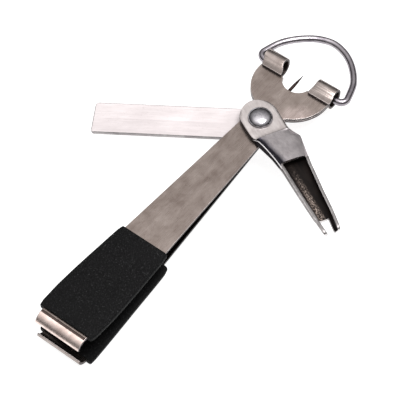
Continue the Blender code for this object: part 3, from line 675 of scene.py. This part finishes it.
def sleeve(side):
    face = 0.0 if side > 0 else -SHEET - GAP - SHEET
    k_s = SLOPE_UP if side > 0 else SLOPE_LOW
    table = GRIP_UP if side > 0 else GRIP_LOW
    arm = WIDTH_UP if side > 0 else WIDTH_LOW
    x0, x1 = -35.0, table[0][0]
    lip = 0.16
    g = 0.44

    def ring(x, shrink):
        h = k_s * (BEND_X - x)
        w = min(soft(table, x, 0.35), lerp(table, x) + 0.02) - shrink
        return [(x, y, face + side * z) for y, z in
                box_ring(w, h - SHEET - g + shrink, h + g - shrink, 0.50 - shrink)]

    def bore(x):
        h = k_s * (BEND_X - x)
        w = lerp(arm, max(x, -57.2)) + 0.05
        return [(x, y, face + side * z) for y, z in
                box_ring(w, h - SHEET - 0.05, h + 0.05, 0.06)]

    rings = []
    for k in range(5):
        a = math.pi / 2 * (1 - k / 4)
        rings.append(ring(x0 - lip * (1 - math.sin(a)), lip * (1 - math.cos(a))))
    x = x0 - 0.5
    while x > x1 + 0.5:
        rings.append(ring(x, 0.0))
        x -= 0.7
    for k in range(5):
        a = math.pi / 2 * k / 4
        rings.append(ring(x1 + lip - lip * math.sin(a), lip * (1 - math.cos(a))))
    rings.append(bore(x1))
    for x in (x1 + 1.2, -55.4, -50.0, -44.0, -38.0, x0 - 0.8, x0):
        rings.append(bore(x))
    b = bmesh.new()
    rows = rows_of(b, rings)
    skin(b, rows + [rows[0]])
    return b


piece("upper_grip", sleeve(1), RUBBER_U, ["upper_grip_sleeve"], "upper_arm",
      smooth=60, weighted=False)
piece("lower_grip", sleeve(-1), RUBBER_L, ["lower_grip_sleeve"], "root",
      smooth=60, weighted=False)

# ---- needle --------------------------------------------------------------
bm = bmesh.new()
z_n = -SHEET - GAP / 2
prof = [(6.60, 0.24), (6.68, 0.30), (6.82, 0.33), (9.5, 0.33), (11.2, 0.32), (11.8, 0.295),
        (12.4, 0.250), (12.9, 0.200), (13.4, 0.148), (13.9, 0.100), (14.3, 0.058), (14.56, 0.026),
        (14.60, 0.012)]
loft(bm, [[(x, 0.20 + r * math.cos(2 * math.pi * i / 28), z_n + r * math.sin(2 * math.pi * i / 28))
           for i in range(28)] for x, r in prof])
piece("needle", bm, NEEDLE, ["eye_needle"], "root", smooth=40)


# ---- rivet ---------------------------------------------------------------
def turned(bm, profile, n=72):
    rows = rows_of(bm, [[(r * math.cos(2 * math.pi * i / n), r * math.sin(2 * math.pi * i / n), z)
                         for i in range(n)] for r, z in profile])
    skin(bm, rows)
    bm.faces.new(list(reversed(rows[0])))
    bm.faces.new(rows[-1])


dome_z = 1.20
bar_top = -1.20
tail_top = bar_top - 0.75 - 0.10
bm = bmesh.new()
profile = [(1.60, tail_top - 0.60), (1.86, tail_top - 0.595), (2.00, tail_top - 0.54),
           (2.085, tail_top - 0.44), (2.10, tail_top - 0.32), (2.10, tail_top - 0.04),
           (2.07, tail_top), (1.21, tail_top), (1.21, dome_z), (2.25, dome_z),
           (2.34, dome_z + 0.02), (2.37, dome_z + 0.08)]
for k in range(1, 22):
    a = math.pi / 2 * k / 22
    profile.append((2.37 * math.cos(a) ** 0.92, dome_z + 0.10 + 1.05 * math.sin(a) ** 1.04))
turned(bm, profile)
piece("rivet", bm, CHROME, ["pivot_rivet"], "root", smooth=45, weighted=False)

# ---- knot tool -----------------------------------------------------------
PAD_N = 0.17
PAD_R, PAD_U, PAD_T, WASHER, BRIDGE, T_END, T_NOTCH, WALL = 3.78, -0.70, 1.0, 0.1, 12.5, 29.4, 26.1, 0.60
LEFT = ((PAD_U, PAD_N - PAD_R), (1.2, -3.57), (3.2, -3.44), (4.1, -3.24), (4.5, -2.62), (5.2, -2.46),
        (7.0, -2.22), (10.0, -1.86), (12.5, -1.72), (14.0, -1.70), (20.0, -1.55), (28.0, -1.20),
        (29.5, -1.02))
RIGHT = ((PAD_U, PAD_N + PAD_R), (1.8, 3.95), (4.2, 4.05), (5.6, 4.45), (7.0, 5.00), (10.0, 4.45),
         (12.5, 4.02), (14.0, 3.78), (18.0, 3.39), (20.6, 3.11), (25.0, 2.77), (28.0, 2.40),
         (29.5, 2.20))
CREASE = ((3.4, 0.60), (7.0, 1.55), (12.5, 2.45), (29.5, 2.95))
BOTTOM = ((3.4, WASHER), (6.0, 0.24), (14.0, 0.60), (29.5, 1.26))
TOP = ((4.0, WASHER + PAD_T), (12.5, 3.42))
SQUARE = ((3.2, 0.07), (4.4, 0.22), (9.0, 0.72))
CROWN = ((3.2, 55.0), (4.3, 40.0), (4.6, 9.0), (7.0, 5.0), (12.5, 4.0))
RIDGE = ((3.0, 0.10), (4.3, 0.25), (4.7, 1.25), (6.0, 1.45), (8.0, 1.40), (12.5, 0.92))
FOLD = ((4.30, 0.0), (4.42, 0.30), (11.0, 0.12), (12.5, 0.0))
BULGE = ((3.4, 0.0), (4.1, 0.10), (4.5, 0.62), (5.2, 0.80), (7.0, 0.74), (10.0, 0.48), (12.5, 0.36),
         (13.6, 0.20), (28.0, 0.12))


def side_n(u, sign):
    if u <= PAD_U:
        return PAD_N + sign * math.sqrt(max(0.0, PAD_R ** 2 - (u - PAD_U) ** 2))
    t = LEFT if sign < 0 else RIGHT
    return lerp(t, u) if u < 0.6 else soft(t, u, 0.35)


def arc_pts(u, shrink, m=26):
    nl, nr = side_n(u, -1) + shrink, side_n(u, 1) - shrink
    zc, zb = lerp(CREASE, u), soft(BOTTOM, u, 0.5) + shrink
    c, w, k = (nl + nr) / 2, (nr - nl) / 2, lerp(SQUARE, u)
    pts = []
    for i in range(m + 1):
        a = math.pi + math.pi * i / m
        ca, sa = math.cos(a), math.sin(a)
        n, z = c + w * math.copysign(abs(ca) ** k, ca), zc - (zc - zb) * abs(sa) ** k
        if not shrink and n < c:
            n -= lerp(BULGE, u) * math.sin(math.pi * min(1.0, 1.15 * (zc - z) / (zc - zb)) ** 0.75)
        pts.append((n, z))
    return pts


def roof_pts(u, shrink, m=18):
    nl, nr = side_n(u, -1) + shrink, side_n(u, 1) - shrink
    zc, zt = lerp(CREASE, u), lerp(TOP, u) + lerp(FOLD, u) - shrink
    cn = nl + lerp(RIDGE, u) * (0.9 if shrink else 1.0)
    p = lerp(CROWN, u)
    pts = []
    for i in range(m):
        t = ((i + 1) / m) ** 1.6
        pts.append((nr + (cn - nr) * t, zc + (zt - zc) * (1 - (1 - t) ** p)))
    # past the ridge the sheet rolls down steeply to the crease
    for k in (0.18, 0.34, 0.50, 0.64, 0.77, 0.88, 0.96):
        a = math.pi / 2 * k
        pts.append((cn + (nl - cn) * math.sin(a), zc + (zt - zc) * math.cos(a)))
    return pts


ub = (math.cos(TOOL_ANG), math.sin(TOOL_ANG))
un = (-math.sin(TOOL_ANG), math.cos(TOOL_ANG))


def at_tool(u, pts):
    return [(u * ub[0] + n * un[0], u * ub[1] + n * un[1], z) for n, z in pts]


def closed_ring(u, shrink=0.0, ease=0.0):
    pts = arc_pts(u, shrink) + roof_pts(u, shrink)
    if ease:
        cx = sum(p[0] for p in pts) / len(pts)
        pts = [(n + (cx - n) * ease / 4, min(max(z, WASHER + ease), z)) for n, z in pts]
    return at_tool(u, pts)


bm = bmesh.new()
us = [PAD_U - (PAD_R - 0.02) * math.cos(math.pi / 2 * k / 22) for k in range(23)]
us += [0.0, 0.6, 1.2, 1.8, 2.4, 3.0, 3.4, 3.8, 4.1, 4.30, 4.36, 4.42, 4.55, 4.7, 5.0, 5.4, 5.8, 6.2, 6.6, 7.0, 7.5,
       8.0, 8.7, 9.4, 10.1, 10.8, 11.5, 12.1, BRIDGE]
rings = [closed_ring(u) for u in us]
inner_us = [BRIDGE, 11.5, 10.0, 8.5, 7.0, 6.4]
m_out = len(rings[0])
rings_in = [closed_ring(u, WALL) for u in inner_us]
rows = rows_of(bm, rings + rings_in)
skin(bm, rows)
bm.faces.new(list(reversed(rows[0])))
bm.faces.new(rows[-1])
bm.verts.ensure_lookup_table()
inner_first = len(rings)
for f in bm.faces:
    idx = [v.index if v.index >= 0 else 0 for v in f.verts]
bm.verts.index_update()
cut_at = inner_first * m_out
for f in bm.faces:
    n_in = sum(1 for v in f.verts if v.index >= cut_at)
    f.material_index = 1 if n_in == len(f.verts) else (2 if n_in else 0)
    if n_in == 0:
        ring_no = [v.index // m_out for v in f.verts]
        loc = [v.index % m_out for v in f.verts]
        u_mid = us[min(min(ring_no), len(us) - 1)]
        # left outer wall, pad edges and flap step take the near-black wall copy: painted shade
        if max(loc) <= 12 and u_mid > 3.2:
            f.material_index = 4
        elif u_mid < 4.25:
            f.material_index = 5 if min(loc) > 26 and max(loc) < m_out - 4 else 4
        elif 4.29 < u_mid < 4.40:
            f.material_index = 4
        elif min(loc) >= 26:
            f.material_index = 6


def trough_ring(u):
    o, i = arc_pts(u, 0.0), arc_pts(u, WALL)
    zc = lerp(CREASE, u)
    nl, nr = o[0][0], o[-1][0]
    il, ir = i[0][0], i[-1][0]
    o[0], o[-1] = (nl, zc - 0.10), (nr, zc - 0.10)
    i[0], i[-1] = (il, zc - 0.10), (ir, zc - 0.10)
    rim_r = [(nr - 0.03, zc - 0.03), (nr - 0.10, zc), (ir + 0.10, zc), (ir + 0.03, zc - 0.03)]
    rim_l = [(il - 0.03, zc - 0.03), (il - 0.10, zc), (nl + 0.10, zc), (nl + 0.03, zc - 0.03)]
    return at_tool(u, o + rim_r + list(reversed(i)) + rim_l)


base = len(bm.verts)
t_us = [BRIDGE, 12.9, 13.4, 14.0, 15.0, 16.0, 17.0, 18.0, 19.0, 20.0, 20.6, 21.5, 22.5, 23.5,
        24.5, 25.3, T_NOTCH]
rows = rows_of(bm, [trough_ring(u) for u in t_us])
skin(bm, rows)
bm.faces.new(list(reversed(rows[0])))
bm.faces.new(rows[-1])
bm.verts.index_update()
n_arc, n_ring = 27, len(rows[0])
# rim bevels take the bright edge copy (painted highlight), rim flats and the upper left outer wall the darker rim
# copy (painted shade)
for f in bm.faces:
    ids = [v.index - base for v in f.verts]
    if min(ids) < 0:
        continue
    loc = [i % n_ring for i in ids]
    if len(ids) > 4:
        f.material_index = 2
    elif all(n_arc + 3 <= k <= 2 * n_arc + 4 for k in loc):
        f.material_index = 1
    elif all(n_arc <= k < n_arc + 4 for k in loc) or all(k >= 2 * n_arc + 4 for k in loc):
        f.material_index = 2
        if {n_arc + 1, n_arc + 2} <= set(loc) or {2 * n_arc + 5, 2 * n_arc + 6} <= set(loc):
            f.material_index = 3
    if f.material_index == 0 and max(loc) <= 10 and len(ids) == 4:
        f.material_index = 3


def arc_z(u, n, shrink):
    nl, nr = side_n(u, -1) + shrink, side_n(u, 1) - shrink
    zc, zb = lerp(CREASE, u), soft(BOTTOM, u, 0.5) + shrink
    c, w, k = (nl + nr) / 2, (nr - nl) / 2, lerp(SQUARE, u)
    ca = min(1.0, abs(n - c) / w) ** (1 / k)
    return zc - (zc - zb) * math.sqrt(max(0.0, 1 - ca * ca)) ** k


def prong_ring(u, sign, depth, ease):
    zc = lerp(CREASE, u) - 0.02
    edge = side_n(u, sign)
    outs = [0.0, 0.004, 0.02, 0.06, 0.13, 0.24, 0.38, 0.55, depth]
    ins = [depth, WALL + 0.12, WALL + 0.06, WALL + 0.015, WALL + 0.001]
    pts = [(edge - sign * d, arc_z(u, edge - sign * d, 0.0)) for d in outs]
    pts[0] = (edge, zc - 0.10)
    pts += [(edge - sign * d, arc_z(u, edge - sign * d, WALL)) for d in ins]
    pts += [(edge - sign * WALL, zc - 0.10), (edge - sign * (WALL - 0.03), zc - 0.03),
            (edge - sign * (WALL - 0.10), zc), (edge - sign * 0.10, zc),
            (edge - sign * 0.03, zc - 0.03)]
    cn = edge - sign * WALL / 2
    cz = zc - 0.85
    pts = [(cn + (n - cn) * (1 - ease * 0.5), cz + (z - cz) * (1 - ease)) for n, z in pts]
    return at_tool(u, pts)


for sign, depth in ((-1, 0.85), (1, 1.15)):
    start = len(bm.verts)
    p_us = [(T_NOTCH - 0.02, 0.0), (27.0, 0.0), (28.0, 0.02), (28.6, 0.05), (29.0, 0.14),
            (29.22, 0.28), (29.36, 0.46)]
    rows = rows_of(bm, [prong_ring(u, sign, depth, e) for u, e in p_us])
    skin(bm, rows)
    bm.faces.new(list(reversed(rows[0])))
    bm.faces.new(rows[-1])
    bm.verts.index_update()
    k_ring = len(rows[0])
    for f in bm.faces:
        ids = [v.index - start for v in f.verts]
        if min(ids) < 0:
            continue
        loc = [i % k_ring for i in ids]
        # prong sides take the darker rim copy: painted shade
        f.material_index = 2 if len(ids) > 4 else (1 if 9 <= min(loc) < 14 else 3)

# the folded flap's own cut edge, proud of the wall below it
start = len(bm.verts)
strip = []
for k in range(23):
    u = 3.9 + (13.2 - 3.9) * k / 22
    nl = side_n(u, -1)
    zc = lerp(CREASE, u)
    r = 0.12 * min(1.0, 0.35 + k / 4, 0.35 + (22 - k) / 3)
    strip.append(at_tool(u, [(nl - 0.05 + r * math.cos(2 * math.pi * j / 10),
                              zc + r * math.sin(2 * math.pi * j / 10)) for j in range(10)]))
rows = rows_of(bm, strip)
skin(bm, rows)
bm.faces.new(list(reversed(rows[0])))
bm.faces.new(rows[-1])
bm.verts.index_update()
# the bead takes the near-white copy: painted highlight
for f in bm.faces:
    if min(v.index for v in f.verts) >= start:
        f.material_index = 7
piece("knot_tool_trough", bm, [TOOL_STEEL, TOOL_INNER, TOOL_EDGE, TOOL_RIM, TOOL_WALL, PAD_STEEL,
                               FLAP_STEEL, BEAD_HIGHLIGHT],
      ["knot_tool"],
      "knot_tool", smooth=42)

# ---- sharpening bar ------------------------------------------------------
bu = (math.cos(BAR_ANG), math.sin(BAR_ANG))
bn = (-math.sin(BAR_ANG), math.cos(BAR_ANG))
BAR_END, BAR_HALF, BAR_SIDE, BAR_T, BAR_BEND = 32.09, 3.59, 0.21, 0.75, 1.60


def bar_point(u, n, z):
    z -= SLOPE_LOW * max(0.0, u - BAR_BEND)
    n -= BAR_SIDE
    return (u * bu[0] + n * bn[0], u * bu[1] + n * bn[1], z)


def bar_ring(u, w):
    e = min(0.15, w * 0.3)
    g = 0.34
    deep = 0.055 * min(1.0, max(0.0, (u - 6.6) / 0.8)) * min(1.0, max(0.0, (BAR_END - 1.8 - u) / 0.6))
    step = 0.045 * min(1.0, max(0.0, (u - 5.5) / 0.6)) * min(1.0, max(0.0, (BAR_END - 0.9 - u) / 0.3))
    top = [(-w, -0.08), (-w + e * 0.35, -0.02), (-w + e, 0.0), (-w * 0.84, 0.0),
           (-w * 0.81, -step), (-w * 0.45, -step), (-min(g, w * 0.3), -step),
           (-min(g, w * 0.3) * 0.6, -deep - step), (min(g, w * 0.3) * 0.6, -deep - step),
           (min(g, w * 0.3), -step), (w * 0.45, -step), (w * 0.81, -step), (w * 0.84, 0.0),
           (w - e, 0.0), (w - e * 0.35, -0.02), (w, -0.08)]
    bot = [(w, -BAR_T + 0.08), (w - e, -BAR_T), (0.0, -BAR_T), (-w + e, -BAR_T), (-w, -BAR_T + 0.08)]
    return [bar_point(u, n, bar_top + z) for n, z in top + bot]


bm = bmesh.new()
sts = [(-BAR_HALF * math.cos(math.pi / 2 * k / 20), max(0.10, BAR_HALF * math.sin(math.pi / 2 * k / 20)))
       for k in range(21)]
sts += [(u, BAR_HALF) for u in (1.2, 1.6, 2.0, 3.4, 5.5, 6.1, 6.6, 7.4, 10.0, 14.0, 18.0, 22.0, 26.0, 28.4,
                                 28.9, 29.5, 30.1, 30.4, BAR_END - 0.7)]
sts += [(BAR_END - 0.7 + 0.7 * math.sin(math.pi / 2 * k / 8),
         BAR_HALF - 0.7 + 0.7 * math.cos(math.pi / 2 * k / 8)) for k in range(1, 9)]
loft(bm, [bar_ring(u, w) for u, w in sts])
bm.normal_update()
bmesh.ops.recalc_face_normals(bm, faces=bm.faces)
for f in bm.faces:
    c = f.calc_center_median()
    n_c = c.x * bn[0] + c.y * bn[1] + BAR_SIDE
    u_c = c.x * bu[0] + c.y * bu[1]
    rim = abs(n_c) > BAR_HALF - 0.13 or u_c > BAR_END - 0.13
    f.material_index = 1 if rim or (abs(f.normal.z) < 0.5 and f.calc_area() > 1e-4) else 0
piece("sharpening_bar", bm, [BAR_STEEL, BAR_EDGE], ["sharpener_bar"], "sharpener_bar", smooth=32)

# ---- bail ----------------------------------------------------------------
LOOP_X, LOOP_Z, WIRE_R, WIRE_Y = 13.5, -1.05, 0.72, 0.20
half = [(LOOP_X, y) for y in (4.7, 4.76, 4.9, 5.6, 6.4, 7.2, 8.0, 8.6)]
rc = 1.35
for k in range(1, 9):
    a = math.pi / 2 * k / 9
    half.append((LOOP_X + rc - rc * math.cos(a), 8.6 + rc * math.sin(a)))
ctrl = [(LOOP_X + rc, 8.6 + rc), (18.2, 8.85), (20.5, 7.38), (22.7, 5.2), (24.25, 2.8),
        (24.95, 0.0), (24.3, -2.85), (22.85, -5.3), (20.65, -7.5), (18.3, -8.95),
        (LOOP_X + rc, -8.6 - rc)]
path = [(x, y + WIRE_Y) for x, y in half + spline(ctrl, 12) + [(x, -y) for x, y in reversed(half)]]
for _ in range(3):
    path = [path[0]] + [((a[0] + 2 * b[0] + c[0]) / 4, (a[1] + 2 * b[1] + c[1]) / 4)
                        for a, b, c in zip(path, path[1:], path[2:])] + [path[-1]]
rings = []
n_p = len(path)
for i, (x, y) in enumerate(path):
    (xa, ya), (xb, yb) = path[max(i - 1, 0)], path[min(i + 1, n_p - 1)]
    d = math.hypot(xb - xa, yb - ya)
    nx, ny = -(yb - ya) / d, (xb - xa) / d
    r = WIRE_R * (0.86 if i in (0, n_p - 1) else 0.995)
    rings.append([(x + nx * r * math.cos(t), y + ny * r * math.cos(t), LOOP_Z + r * math.sin(t))
                  for t in (2 * math.pi * j / 24 for j in range(24))])
bm = bmesh.new()
loft(bm, rings)
piece("bail", bm, WIRE, ["ring_bail"], "ring_bail", smooth=45, weighted=False)

# ---- floor, light, camera ------------------------------------------------
me = bpy.data.meshes.new("floor")
bm = bmesh.new()
bmesh.ops.create_grid(bm, x_segments=1, y_segments=1, size=1.2)
bm.to_mesh(me)
bm.free()
floor = bpy.data.objects.new("floor", me)
floor.location = (0, 0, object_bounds()[0][2] - 0.0002)
bpy.context.scene.collection.objects.link(floor)
t = Tree("floor_white")
cloud = t.noise(t.mapped((0.01, 0.01, 0.01)), 1.0, 3.0)
t.link(t.ramp(cloud, [(0.3, (0.43, 0.43, 0.43)), (0.7, (0.47, 0.47, 0.47))]), t.b.inputs["Base Color"])
t.b.inputs["Roughness"].default_value = 0.9
t.b.inputs["Specular IOR Level"].default_value = 0.0
t.b.inputs["Emission Color"].default_value = (1, 1, 1, 1)
t.b.inputs["Emission Strength"].default_value = 0.82
floor.data.materials.append(t.mat)

world = bpy.data.worlds.new("world")
world.use_nodes = True
nt = world.node_tree
co = nt.nodes.new("ShaderNodeTexCoord")
sep = nt.nodes.new("ShaderNodeSeparateXYZ")
nt.links.new(co.outputs["Generated"], sep.inputs["Vector"])
r = nt.nodes.new("ShaderNodeValToRGB")
stops = [(0.0, 0.04), (0.20, 0.06), (0.40, 0.16), (0.58, 0.42), (0.74, 0.84), (0.84, 0.98),
         (0.92, 1.7), (1.0, 2.3)]
el = r.color_ramp.elements
while len(el) < len(stops):
    el.new(0.5)
for e, (p, v) in zip(el, stops):
    e.position = p
    e.color = (v, v * 0.985, v * 0.975, 1.0)
nt.links.new(sep.outputs["Z"], r.inputs["Fac"])
nt.links.new(r.outputs["Color"], nt.nodes["Background"].inputs["Color"])
nt.nodes["Background"].inputs["Strength"].default_value = 1.0
bpy.context.scene.world = world

lamp = bpy.data.lights.new("softbox", "AREA")
lamp.shape = "RECTANGLE"
lamp.size, lamp.size_y = 0.20, 0.17
lamp.energy = 1.05
lamp_ob = bpy.data.objects.new("softbox", lamp)
lamp_ob.location = (0.02, -0.09, 0.38)
lamp_ob.rotation_euler = Vector((0.02, -0.09, 0.38)).to_track_quat("Z", "Y").to_euler()
bpy.context.scene.collection.objects.link(lamp_ob)

cam_data = bpy.data.cameras.new("camera")
cam_data.sensor_width = 36.0
cam_data.sensor_fit = "HORIZONTAL"
cam_data.lens = 151.31
cam_data.clip_start = 0.01
cam_data.clip_end = 5.0
cam = bpy.data.objects.new("camera", cam_data)
bpy.context.scene.collection.objects.link(cam)
right = Vector((0.60896722, -0.79319539, 0.0))
up = Vector((0.65166949, 0.50031224, 0.57010046))
view = Vector((0.45220106, 0.3471725, -0.82157499))
roll = 0.0019645529520234013
right, up = (right * math.cos(roll) - up * math.sin(roll),
             right * math.sin(roll) + up * math.cos(roll))
cam.matrix_world = Matrix(((right.x, up.x, -view.x, -0.16036711773),
                           (right.y, up.y, -view.y, -0.10874066837),
                           (right.z, up.z, -view.z, 0.25277603566 + ZT * MM),
                           (0, 0, 0, 1)))
bpy.context.scene.camera = cam
bpy.context.scene.view_settings.view_transform = "Standard"
